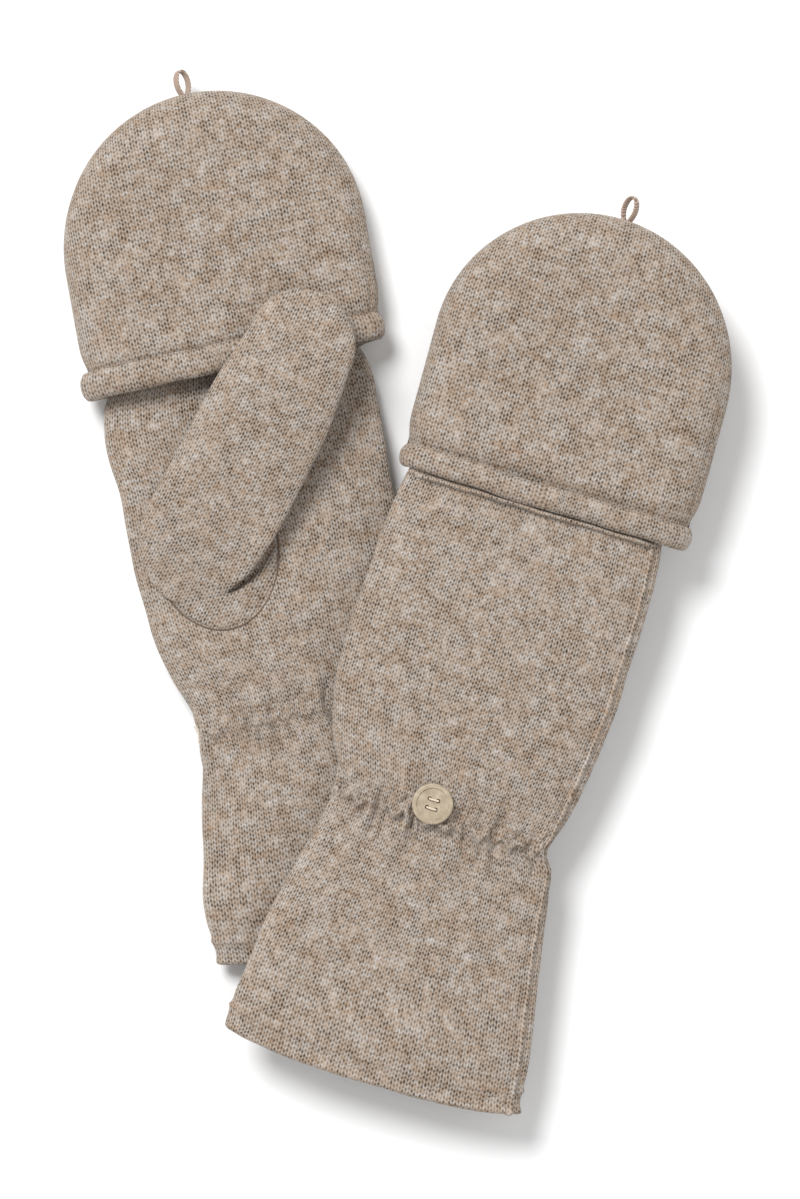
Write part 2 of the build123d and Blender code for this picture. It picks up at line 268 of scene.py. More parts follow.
# ---------------------------------------------------------------- materials
class Nodes:
    """Short calls for a material's node tree."""

    def __init__(self, name):
        self.material = bpy.data.materials.new(name)
        self.material.use_nodes = True
        self.tree = self.material.node_tree
        self.shader = self.tree.nodes["Principled BSDF"]

    def add(self, kind, **settings):
        node = self.tree.nodes.new(kind)
        for key, value in settings.items():
            setattr(node, key, value)
        return node

    def link(self, source, socket):
        self.tree.links.new(source, socket)

    def put(self, socket, value):
        if isinstance(value, bpy.types.NodeSocket):
            self.link(value, socket)
        else:
            socket.default_value = value

    def math(self, operation, *values, clamp=False):
        node = self.add("ShaderNodeMath", operation=operation, use_clamp=clamp)
        for socket, value in zip(node.inputs, values):
            self.put(socket, value)
        return node.outputs[0]

    def combine(self, *values):
        node = self.add("ShaderNodeCombineXYZ")
        for socket, value in zip(node.inputs, values):
            self.put(socket, value)
        return node.outputs[0]

    def triangle(self, value):
        """How far a value in 0 to 1 is from its middle: 1 at both ends and 0 between."""
        return self.math("ABSOLUTE", self.math("MULTIPLY_ADD", value, 2.0, -1.0))

    def noise(self, vector, scale, detail=2.0, roughness=0.5):
        node = self.add("ShaderNodeTexNoise")
        self.put(node.inputs["Vector"], vector)
        self.put(node.inputs["Scale"], scale)
        self.put(node.inputs["Detail"], detail)
        self.put(node.inputs["Roughness"], roughness)
        return node.outputs["Fac"]

    def random(self, vector):
        node = self.add("ShaderNodeTexWhiteNoise", noise_dimensions="3D")
        self.put(node.inputs["Vector"], vector)
        return node.outputs["Value"]

    def ramp(self, factor, stops):
        node = self.add("ShaderNodeValToRGB")
        ramp = node.color_ramp
        while len(ramp.elements) < len(stops):
            ramp.elements.new(0.5)
        for element, (position, colour) in zip(ramp.elements, stops):
            element.position = position
            element.color = (*colour, 1)
        self.put(node.inputs[0], factor)
        return node.outputs["Color"]

    def mix(self, factor, a, b, blend="MIX"):
        node = self.add("ShaderNodeMix", data_type="RGBA", blend_type=blend)
        self.put(node.inputs[0], factor)
        for socket, value in zip(node.inputs[6:8], (a, b)):
            if isinstance(value, bpy.types.NodeSocket):
                self.link(value, socket)
            else:
                socket.default_value = (*value, 1)
        return node.outputs[2]

    def bump(self, height, distance, strength=1.0, normal=None):
        node = self.add("ShaderNodeBump")
        self.put(node.inputs["Strength"], strength)
        self.put(node.inputs["Distance"], distance)
        self.put(node.inputs["Height"], height)
        if normal is not None:
            self.link(normal, node.inputs["Normal"])
        return node.outputs["Normal"]

    def wire(self, base_colour, normal, **values):
        """Joins up the shader. The keywords are its inputs, with _ for a space."""
        self.link(base_colour, self.shader.inputs["Base Color"])
        self.link(normal, self.shader.inputs["Normal"])
        for name, value in values.items():
            self.shader.inputs[name.replace("_", " ")].default_value = value
        return self.material


def colour(red, green, blue):
    """A linear colour from 0-255 display values."""
    def one(c):
        c = c / 255
        return c / 12.92 if c <= 0.04045 else ((c + 0.055) / 1.055) ** 2.4
    return one(red), one(green), one(blue)


def knit_material(name, wale, course, tint, seed):
    """Heathered stockinette: columns of V stitches in mottled light grey and tan yarn, with small gaps between them
    darkened by painted shade.

    The wale is a column's width and the course a row's height, in millimetres.
    """
    n = Nodes(name)
    split = n.add("ShaderNodeSeparateXYZ")
    n.link(n.add("ShaderNodeUVMap", uv_map="knit").outputs[0], split.inputs[0])
    u_mm = n.math("MULTIPLY", split.outputs[0], MM_PER_METRE)
    v_mm = n.math("MULTIPLY", split.outputs[1], MM_PER_METRE)

    def cloth_noise(offset, *settings):
        return n.noise(n.combine(u_mm, v_mm, seed + offset), *settings)

    def patches(width, height, offset, roughness):
        where = n.combine(n.math("DIVIDE", u_mm, width), n.math("DIVIDE", v_mm, height), seed + offset)
        return n.noise(where, 1.0, 3.0, roughness)

    # the loops aren't quite even
    drift = n.math("MULTIPLY_ADD", cloth_noise(0.0, 0.16, 2.0), 1.6, -0.8)
    u = n.math("DIVIDE", n.math("ADD", u_mm, n.math("MULTIPLY", drift, 0.5)), wale)
    v = n.math("DIVIDE", n.math("ADD", v_mm, drift), course)
    across = n.triangle(n.math("FRACT", u))
    phase = n.math("SUBTRACT", v, n.math("MULTIPLY", across, 0.5))
    # painted shade: dark gaps lie in the columns between the legs, and fainter ones across them
    gap_v = n.triangle(n.math("FRACT", phase))
    gap_u = n.math("POWER", n.triangle(across), 0.8)
    column = n.math("MULTIPLY", gap_u, n.math("MULTIPLY_ADD", gap_v, 0.68, 0.32))
    row = n.math("MULTIPLY", n.math("MULTIPLY", gap_v, 0.12), n.math("SUBTRACT", 1.0, gap_u))
    # each gap has its own depth, and it also varies slowly over the cloth
    half = n.math("FLOOR", n.math("ADD", n.math("MULTIPLY", u, 2.0), 0.5))
    loose = n.random(n.combine(half, n.math("FLOOR", n.math("ADD", phase, 0.5)), seed + 8.0))
    depth = n.math("MULTIPLY_ADD", cloth_noise(2.0, 0.22, 3.0, 0.6), 1.4, 0.06)
    depth = n.math("ADD", depth, n.math("MULTIPLY_ADD", loose, 0.5, -0.18))
    height = n.math("SUBTRACT", 1.0, n.math("MULTIPLY", n.math("ADD", column, row), depth), clamp=True)
    # a leg's own shade, streaks along the courses, larger clouds and fibres
    leg = n.math("FLOOR", n.math("MULTIPLY", u, 2.0))
    single = n.random(n.combine(leg, n.math("FLOOR", phase), seed + 3.0))
    streak = patches(3.4, 1.25, 11.0, 0.62)
    cloud = patches(11.0, 6.0, 23.0, 0.6)
    fibre = cloth_noise(0.0, 4.5, 2.0, 0.7)
    mottle = n.math("ADD", n.math("MULTIPLY_ADD", streak, 0.5, 0.03), n.math("MULTIPLY", cloud, 0.44))
    mottle = n.math("ADD", mottle, n.math("MULTIPLY_ADD", single, 0.14, -0.07))
    mottle = n.math("ADD", mottle, n.math("MULTIPLY_ADD", fibre, 0.34, -0.17))
    yarn = n.ramp(mottle, YARN)
    # painted shade: the yarn is darkened where the height is low, a little more in blue than in red, so that the
    # gaps are warm; the same height also drives the bump
    painted_shade = n.math("POWER", n.math("MULTIPLY_ADD", height, 0.93, 0.07), 1.3)
    painted_shade = n.math("MULTIPLY", n.math("MULTIPLY", painted_shade, 1.07), tint)
    painted_shade_rgb = n.add("ShaderNodeCombineColor")
    for socket, power in zip(painted_shade_rgb.inputs, (0.91, 1.0, 1.11)):
        n.put(socket, n.math("POWER", painted_shade, power))
    # the yarn's colour is multiplied by the painted shade
    base_colour = n.mix(1.0, yarn, painted_shade_rgb.outputs[0], "MULTIPLY")
    fuzz = n.bump(fibre, 0.12 * MM, 0.6)
    return n.wire(base_colour, n.bump(height, 0.45 * MM, 0.9, fuzz), Roughness=0.92, Sheen_Weight=0.35,
                    Sheen_Roughness=0.5, Sheen_Tint=(*colour(235, 226, 214), 1), Specular_IOR_Level=0.15)


def button_material():
    """Cream horn with faint clouds."""
    n = Nodes("button")
    place = n.add("ShaderNodeTexCoord").outputs["Object"]
    horn = n.ramp(n.noise(place, 260.0, 4.0, 0.6), HORN)
    grain = n.bump(n.noise(place, 1800.0, 2.0), 0.03 * MM, 0.3)
    return n.wire(horn, grain, Roughness=0.38, Specular_IOR_Level=0.45)


def woven_material(name, dark, light, pitch):
    """Fine plain weave, for ribbon, tape and thread. The pitch is in millimetres."""
    n = Nodes(name)
    pitch = pitch * MM
    place = n.add("ShaderNodeTexCoord").outputs["Object"]
    wave = n.add("ShaderNodeTexWave", wave_type="BANDS", bands_direction="DIAGONAL")
    n.put(wave.inputs["Vector"], place)
    n.put(wave.inputs["Scale"], 0.3 / pitch)
    n.put(wave.inputs["Distortion"], 1.5)
    fibre = n.noise(place, 1.4 / pitch, 3.0)
    both = n.math("MULTIPLY", wave.outputs["Fac"], n.math("MULTIPLY_ADD", fibre, 0.8, 0.5))
    thread = n.ramp(both, [(0.1, colour(*dark)), (0.8, colour(*light))])
    return n.wire(thread, n.bump(both, pitch * 0.3, 0.7), Roughness=0.8, Sheen_Weight=0.2)


YARN = [(0.22, colour(148, 122, 100)), (0.40, colour(168, 149, 132)), (0.50, colour(176, 163, 151)),
        (0.60, colour(182, 174, 167)), (0.80, colour(199, 198, 197))]
HORN = [(0.3, colour(143, 127, 106)), (0.55, colour(168, 153, 131)), (0.75, colour(190, 178, 158))]
KNIT = {
    "hand": knit_material("knit_hand", wale=1.9, course=1.6, tint=1.0, seed=1.0),
    "hood": knit_material("knit_hood", wale=2.1, course=1.6, tint=0.96, seed=5.0),
    "thumb": knit_material("knit_thumb", wale=1.9, course=1.6, tint=1.0, seed=9.0),
}
RIBBON = woven_material("ribbon", (120, 98, 84), (188, 166, 150), 0.5)
# a dark cord's colour: painted shade for the crease of the gusset's seam
SEAM_SHADE = woven_material("seam_thread", (70, 54, 42), (120, 98, 80), 0.4)
ELASTIC = woven_material("elastic", (190, 178, 160), (225, 216, 202), 0.6)
THREAD = woven_material("thread", (190, 172, 146), (226, 212, 190), 0.2)
BUTTON_LOOK = button_material()


# ---------------------------------------------------------------- hand and cuff
def hand_section(y, side):
    """Middle, half width, middle depth and half depth of hand and cuff at each y."""
    cuff = CUFF_OUTLINE.copy()
    cuff[:, 0] *= CUFF_LENGTH[side]
    table = np.vstack([cuff, HAND_OUTLINE])
    at = table[:, 0].copy()
    if side == "left":
        table[:, 1] += 2.5 * smooth(100, 80, at) * (1 - 0.75 * bell(at, 16))
        table[:, 1] -= 1.6 * bell(at - 110, 12)
        table[:, 2] += 1.8 * bell(at - 112, 22)
    else:
        table[:, 2] += bell(at - 70, 25)
    left, right, palm, back = (curve_through(at, table[:, k], y) for k in range(1, 5))
    return (left + right) / 2, (right - left) / 2, (palm + back) / 2, (back - palm) / 2


def hand_form(phi, y, inset, side):
    """A point of the hand's cloth: phi goes round from the little-finger edge over the back."""
    middle, half_width, mid_depth, half_depth = hand_section(y, side)
    x = middle + (half_width - inset) * rounded(np.cos(phi), 2 / HAND_POWER)
    z = mid_depth + (half_depth - inset) * rounded(np.sin(phi), 2 / HAND_POWER)
    return np.stack([x, y + 0 * x, z], -1)


def hand_height(x, y, side, face, edge=0.999):
    """The height of the hand's surface at a point. Face is 1 for its back and -1 for its palm."""
    middle, half_width, mid_depth, half_depth = hand_section(y, side)
    across = np.clip(np.abs(x - middle) / half_width, 0, edge)
    return mid_depth + face * half_depth * (1 - across ** HAND_POWER) ** (1 / HAND_POWER)


def hand_rows(cuff):
    """The shell's rows as y and inset: round the cuff's end, up the outside, over the end and down the inside."""
    start, end = -cuff + 0.9, FINGER_END - 0.8
    outside = np.concatenate([np.linspace(start, -16, 70, endpoint=False),
                              np.linspace(-16, 24, 96, endpoint=False), np.linspace(24, end, 80)])
    inside = np.linspace(end, start, 60)
    cuff_roll = [-cuff + 0.25, -cuff + 0.02, -cuff + 0.25]
    finger_roll = [FINGER_END - 0.2, FINGER_END, FINGER_END - 0.2]
    hem = smooth(-cuff + CUFF_HEM + 1, -cuff + CUFF_HEM - 1, inside)
    y = np.concatenate([cuff_roll, outside, finger_roll, inside])
    inset = np.concatenate([[HEM_INSET * 0.8, HEM_INSET * 0.5, HEM_INSET * 0.2], np.zeros(len(outside)),
                            [CLOTH * 0.2, CLOTH * 0.5, CLOTH * 0.8], CLOTH + (HEM_INSET - CLOTH) * hem])
    return y, inset


def hand_wrap(place):
    """Hand and cuff as one shell of cloth: outer face, rolled edges and inner face."""
    side, cuff = place.side, CUFF_LENGTH[place.side]
    columns = 420
    rows_y, rows_inset = hand_rows(cuff)
    phi = full_turn(columns)
    y, turn = np.meshgrid(rows_y, phi, indexing="ij")
    points = hand_form(turn, y, np.repeat(rows_inset[:, None], columns, 1), side)
    # the cuff's end is bowed
    across = (points[..., 0] + 0.5) / 54
    points[..., 1] -= 4.5 * (1 - np.minimum(across ** 2, 1) ** 1.5) * smooth(-cuff * 0.5, -cuff, y)
    # what repeats round the hand is counted along its section at y 53
    reference = hand_form(phi, np.full(columns, 53.0), 0, side)
    arc = running(np.linalg.norm(np.diff(np.vstack([reference, reference[:1]]), axis=0), axis=1))
    s = np.repeat(arc[None, :-1], len(rows_y), 0)

    def around(length):
        """The nearest length that divides the way round, so that what repeats closes on itself."""
        return arc[-1] / max(1, round(arc[-1] / length))

    def wave(length, shift=0.0):
        return np.sin(2 * np.pi * s / around(length) + shift)

    # long pleats run up and down from the wrist
    near = bell(y - 1, 13.0) + 0.35 * smooth(-55, -8, y) * (y < 0) * bell(y, 45)
    pleats = np.zeros_like(y)
    for length, strength in ((21.0, 0.55), (12.5, 0.5), (8.3, 0.42), (5.6, 0.3)):
        fade = bell(y - rng.uniform(-2, 3), length * 1.15)
        pleats += strength * fade * np.sin(2 * np.pi * s / around(length) + rng.uniform(0, 6)
                                           + 0.5 * np.sin(y / 9.0 + rng.uniform(0, 6)))
    calm_sides = 0.2 + 0.8 * np.abs(np.sin(turn)) ** 0.7
    height = 2.1 * pleats * np.clip(near, 0, 1) * (0.4 + 0.6 * calm_sides)
    # the gather: a crooked groove between two ridges, with tucks at its corners
    bent = s + 1.1 * wave(31.0) + 0.6 * wave(11.0, 2)
    crinkle = zigzag(bent, around(7.4))
    uneven = 0.8 + 0.3 * wave(17.0, 1.0)
    drawn = DRAWN[side] * calm_sides
    height -= drawn * uneven * 2.0 * bell(y - crinkle * 1.7, 1.6) + 0.3 * bell(y, 3.0)
    height += drawn * (1.3 * bell(y - crinkle * 1.8 - 3.2, 1.9) + bell(y - crinkle * 1.8 + 3.2, 1.9))
    tucks = bell(zigzag(bent + 1.85, around(7.4)) - 1, 0.62)
    height -= drawn * uneven * 1.1 * tucks * (bell(y - 3.4, 2.6) + 0.8 * bell(y + 3.6, 2.8))
    # the button draws in the cloth below it
    under_button = np.hypot(points[..., 0] - BUTTON[0] - 0.5, y - BUTTON[1] + 6.0)
    height -= 1.3 * bell(under_button, 4.0) * (points[..., 2] > 0)
    # the hem's stitch line, with the cloth a little full on both sides of it
    hem_y = -cuff + CUFF_HEM
    height -= 0.6 * bell(y - hem_y, 0.6)
    height += 0.25 * bell(y - hem_y - 2.2, 1.8) + 0.55 * bell(y - (-cuff + 4.2), 2.6)
    # the side seam, just on the back of the little-finger edge
    seam = s - 4.6
    height -= 0.8 * bell(seam, 0.6) - 0.25 * (bell(seam - 1.8, 1.2) + bell(seam + 1.8, 1.2))
    # soft folds, deeper to the cuff's end
    soft, fine = Waves(7, 28, 70), Waves(9, 10, 24)
    over = points[..., 0] + 3 * points[..., 2]
    height += (0.35 + 0.5 * smooth(-2, -cuff * 0.7, y)) * soft(over, y) * smooth(-cuff, -cuff + 4, y)
    height += 0.12 * fine(over, y)
    height *= smooth(FINGER_END, FINGER_END - 10, y) * 0.8 + 0.2
    # Known fault: the normals point into the mitten on the outer rows and out of it on the inner ones. What is
    # called a groove above stands out, what is meant to be full is sunk, and the two faces cross where it is deep.
    inner = rows_inset > 0.5
    height[inner] *= -0.8
    points = along_normals(points, height * np.where(inner, -1, 1)[:, None], True)
    u = np.repeat(arc[None], len(rows_y) + 1, 0)
    v = np.repeat(np.append(rows_y, rows_y[0])[:, None], columns + 1, 1)
    piece = surface(place, f"{side}_hand_wrap", points, np.stack([u, v], -1), True, True)
    dress(piece, KNIT["hand"], "knit", f"{side}_hand", "body_wrap", "cuff_hem", "finger_hem")


# ---------------------------------------------------------------- hood
def hood_depth(distance, face):
    """The height of the hood's surface, by the distance in from its outline. Face is 1 for its back, -1 its palm."""
    t = 1 - np.clip(distance / HOOD_REACH, 0, 1)
    return HOOD_MIDDLE + face * HOOD_HALF * np.maximum(1 - t ** HOOD_POWER, 0) ** (1 / HOOD_POWER)


def hood_stretch(distance):
    """How much further it is over the hood's rounded edge than straight across, by the distance from the outline."""
    d = np.linspace(0, HOOD_REACH, 200)
    drop = np.hypot(np.diff(d), np.diff(hood_depth(d, 1))) - np.diff(d)
    return np.interp(distance, d, np.append(np.cumsum(drop[::-1])[::-1], 0))


def hood_panel(place, face):
    """One panel of the hood, outer and inner side, from the rim round the dome.

    Face is 1 for the back's panel and -1 for the palm's.
    """
    side, columns = place.side, 180
    radius, middle = HOOD_RADIUS[side], HOOD_SHIFT[side]
    dome_y = HOOD_TIP[side] - radius
    across = np.sin(np.linspace(-1, 1, columns) * np.pi / 2)
    edge_z = hood_depth(radius * (1 - np.abs(across)), face)
    start = HINGE_Y + 6.4 + RIM_SLANT * rim_share(middle + across * radius, edge_z, side)
    share = np.linspace(0, 1, 44, endpoint=False)[:, None]
    straight = start[None] + share * (dome_y - start)[None]
    round_part = dome_y + radius * np.sin(np.linspace(0, np.pi / 2, 74))
    y = np.concatenate([straight, np.repeat(round_part[:, None], columns, 1)], 0)
    over = np.maximum(y - dome_y, 0)
    x = across[None] * np.sqrt(np.maximum(radius ** 2 - over ** 2, 1e-4))
    out = np.stack([x, over], -1)
    out /= np.linalg.norm(out, axis=-1, keepdims=True) + 1e-6
    distance = radius - np.hypot(x, over)
    x = middle + x * (1 - 0.03 * bell(y - start - 3.5, 5.0))
    waves, fine = Waves(8, 35, 90), Waves(9, 12, 26)
    calm = smooth(0, 12, distance)
    lift = calm * (0.45 * waves(x, y) + 0.1 * fine(x, y))
    # the cloth dips into the groove over the rim, and the dome's seam draws the edge in
    lift -= 1.7 * bell(y - start - 2.6, 1.8) - 0.9 * bell(y - start - 8.5, 4.0) * calm
    lift -= 0.3 * bell(distance - 1.6, 0.8) * smooth(0, 1, distance)
    lift -= 0.9 * bell(distance - 2.8, 0.6) * smooth(0, 10, x)
    z = hood_depth(distance, face) + face * lift
    outer = np.stack([x + HOOD_LEAN[side] * smooth(120, 200, y), y, z], -1)
    knit = outer[..., :2] + out * hood_stretch(distance)[..., None]
    if face < 0:
        outer, knit, distance = outer[:, ::-1], knit[:, ::-1], distance[:, ::-1]
    thinner = 1 - CLOTH / radius
    inner_x = middle + (outer[..., 0] - middle) * thinner
    inner_y = np.minimum(outer[..., 1], dome_y) + np.maximum(outer[..., 1] - dome_y, 0) * thinner
    inner_z = outer[..., 2] - face * CLOTH * smooth(0, 8, distance)
    inner = np.stack([inner_x, inner_y, inner_z], -1)
    points = np.concatenate([outer, inner[::-1]], 0)
    knit = np.concatenate([knit, knit[::-1]], 0)
    label = "back" if face > 0 else "palm"
    piece = surface(place, f"{side}_hood_{label}", points, knit)
    dress(piece, KNIT["hood"], "knit", f"{side}_hood", f"hood_{label}_panel")


def rim_share(x, z, side):
    """How much nearer the fingertips the rim is at a point of the mouth: 0 on the back and 1 on the palm side."""
    share = (HOOD_BACK - z) / (HOOD_BACK - HOOD_PALM)
    if side == "left":
        return np.maximum(smooth(0.0, 0.4, share), smooth(34, 45, np.abs(x)))
    return smooth(0.6, 1.0, share)


def mouth_ring(count, side):
    """The hood's cross-section as a closed ring of x and z, from the little-finger edge over the back."""
    turn = full_turn(count)
    middle, half_width = MOUTH[side]
    x = middle + half_width * rounded(np.cos(turn), 2 / 2.9)
    return x, HOOD_MIDDLE + HOOD_HALF * rounded(np.sin(turn), 2 / 2.5)


def hood_rim(place):
    """The rolled rim: a fat soft roll of the knit round the hood's mouth, slanting to the palm side."""
    side, columns, rows = place.side, 300, 44
    x, z = mouth_ring(columns, side)
    share = rim_share(x, z, side)
    width = 8.4 + 1.6 * share
    out = np.stack([np.roll(z, 1) - np.roll(z, -1), np.roll(x, -1) - np.roll(x, 1)], -1)
    out = -out / np.linalg.norm(out, axis=1, keepdims=True)
    arc = ring_length(x, z)
    lumps = Waves(8, 14, 60)
    fat = 2.8 + 0.2 * lumps(arc[:-1], 0 * arc[:-1])
    turn = full_turn(rows)
    along = rounded(np.cos(turn), 0.9)
    proud = rounded(np.sin(turn), 0.95)
    centre = HINGE_Y + 1.0 + RIM_SLANT * share + width / 2 + 0.35 * lumps(arc[:-1] + 31, 0 * arc[:-1])
    y = centre[None] - along[:, None] * (width / 2)[None]
    nick = 0.25 * bell(along[:, None] + 0.75, 0.25) * (proud[:, None] > 0)
    tall = proud[:, None] * fat[None] + 0.15 - nick
    points = np.stack([x[None] + out[None, :, 0] * tall, y, z[None] + out[None, :, 1] * tall], -1)
    if side == "left":
        points[..., 2] = np.minimum(points[..., 2], RESTING)
    knit = np.stack(np.broadcast_arrays(arc[None], -ring_length(along, proud, 4.6, 1.6)[:, None]), -1)
    piece = surface(place, f"{side}_hood_roll", points[:, ::-1], knit[:, ::-1], True, True)
    dress(piece, KNIT["hood"], "knit", f"{side}_hood", "hood_rim")


def hood_seam(place):
    """The lip of the seam that holds the hood across the knuckles, following the back of the hand."""
    side = place.side
    low, high, length = -46.0, 41.0, 300
    x = np.linspace(low, high, length)
    z = hand_height(x, np.full(length, HINGE_Y), side, 1, edge=0.995)
    turn = full_turn(20)
    wobble = Waves(6, 9, 30)
    y = HINGE_Y - 0.3 + 0.12 * wobble(x, 0 * x)
    tall = smooth(0, 6, x - low) * smooth(0, 6, high - x)
    c, s = np.cos(turn)[:, None], np.sin(turn)[:, None]
    lip = np.broadcast_arrays(x[None], y[None] + 0.9 * c, z[None] + 0.5 + tall[None] * 2.0 * s)
    knit = np.stack(np.broadcast_arrays(x[None], np.append(turn, 2 * np.pi)[:, None]), -1)
    piece = surface(place, f"{side}_seam_lip", np.stack(lip, -1), knit, True, False)
    dress(piece, KNIT["hand"], "knit", f"{side}_hand", "hood_seam")


def loop(place):
    """The ribbon loop, sewn into the seam at the hood's tip."""
    side = place.side
    t = np.linspace(0, 1, 60)
    a = (t - 0.5) * 2 * np.pi * 0.86
    path_x = 2.45 * np.sin(a) * (1 - 0.25 * bell(np.abs(a) - 2.7, 0.8))
    path_y = HOOD_TIP[side] + 3.6 + 4.6 * np.cos(a)
    tangent = np.stack([np.gradient(path_x), np.gradient(path_y)], -1)
    tangent /= np.linalg.norm(tangent, axis=1, keepdims=True)
    normal = np.stack([-tangent[:, 1], tangent[:, 0]], -1)
    # the ribbon's section: half its thickness and half its width
    ring = full_turn(24)
    flat = 0.42 * rounded(np.sin(ring), 0.6)
    wide = 1.5 * rounded(np.cos(ring), 0.6)
    px = path_x[:, None] + normal[:, :1] * flat[None]
    py = path_y[:, None] + normal[:, 1:] * flat[None]
    pz = np.repeat(wide[None], len(t), 0)
    x = LOOP_HINGE[0] + LOOP_SIDE[side] + px * math.cos(LOOP_TURN) - pz * math.sin(LOOP_TURN)
    z = HOOD_MIDDLE + px * math.sin(LOOP_TURN) + pz * math.cos(LOOP_TURN)
    piece = surface(place, f"{side}_ribbon_loop", np.stack([x, py, z], -1), np.zeros((len(t), 25, 2)), False, True)
    dress(piece, RIBBON, "ribbon", None, "hood_loop")
    ends = [place.world(np.array([LOOP_HINGE[0], HOOD_TIP[side] + at, HOOD_MIDDLE])) for at in (-0.2, 3.2)]
    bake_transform(piece)


# ---------------------------------------------------------------- thumb
ALONG = np.array([math.sin(THUMB_TURN), math.cos(THUMB_TURN)])
ACROSS = np.array([-math.cos(THUMB_TURN), math.sin(THUMB_TURN)])
GUSSET = (-21.0, 65.0, 22.5, 31.5)  # its middle's x and y, and half its width and length


def thumb_gusset(place):
    """The oval root of the thumb: a low dome sewn into the palm, its edge turned under."""
    columns, rows = 320, 90
    r, turn = np.meshgrid(np.linspace(0.0, 1.0, rows) ** 0.8, full_turn(columns), indexing="ij")
    cx, cy, ax, ay = GUSSET
    x = cx + r * ax * np.cos(turn)
    y = cy + r * ay * np.sin(turn)
    rise = 0.9 * (1 - r ** 2) + 0.7 * (1 - r ** 14) - 0.35 * smooth(0.95, 1.0, r)
    # two swells, at the thumb's root and below it
    rise += 2.6 * bell(x - cx + 13, 10) * bell(y - cy - 1, 16) * (1 - r ** 4)
    rise += 3.0 * bell(x - cx - 7, 9) * bell(y - cy + 14, 11) * (1 - r ** 3)
    # the crease beside the thumb
    u = x * ACROSS[0] + y * ACROSS[1]
    v = x * ALONG[0] + y * ALONG[1]
    thumb_edge = curve_through([24, 34, 48, 60], [44.0, 39.6, 38.0, 37.4], v)
    rise -= 4.6 * bell(u - thumb_edge + 0.2, 1.25) * smooth(22.5, 27, v) * smooth(60, 50, v) * (1 - r ** 6)
    points = np.stack([x, y, hand_height(x, y, place.side, -1) - rise], -1)
    knit = np.stack([u, v], -1)
    knit = np.concatenate([knit, knit[:, :1]], 1)
    piece = surface(place, f"{place.side}_thumb_gusset_cloth", points[:, ::-1], knit[:, ::-1], False, True)
    dress(piece, KNIT["thumb"], "knit", f"{place.side}_hand", "thumb_gusset")


def gusset_seam_shade(place):
    """A fine dark cord round the gusset's seam: painted shade for the crease there."""
    count, sides = 220, 10
    turn = np.linspace(math.radians(-168), math.radians(28), count)
    cx, cy, ax, ay = GUSSET
    x = cx + (ax + 0.1) * np.cos(turn)
    y = cy + (ay + 0.1) * np.sin(turn)
    z = hand_height(x, y, place.side, -1) - 0.22
    # it gets thinner and sinks in at both ends
    ends = smooth(0, 0.35, turn - turn[0]) * smooth(0, 0.2, turn[-1] - turn)
    ring = full_turn(sides)
    radius = 0.12 + 0.14 * ends
    normal = np.stack([np.cos(turn), np.sin(turn)], -1)
    points = np.stack([
        x[:, None] + normal[:, :1] * radius[:, None] * np.cos(ring),
        y[:, None] + normal[:, 1:] * radius[:, None] * np.cos(ring),
        (z + 0.35 * (1 - ends))[:, None] + radius[:, None] * np.sin(ring),
    ], -1)
    piece = surface(place, f"{place.side}_gusset_seam", points, np.zeros((count, sides + 1, 2)), False, True)
    dress(piece, SEAM_SHADE, "knit", f"{place.side}_hand")


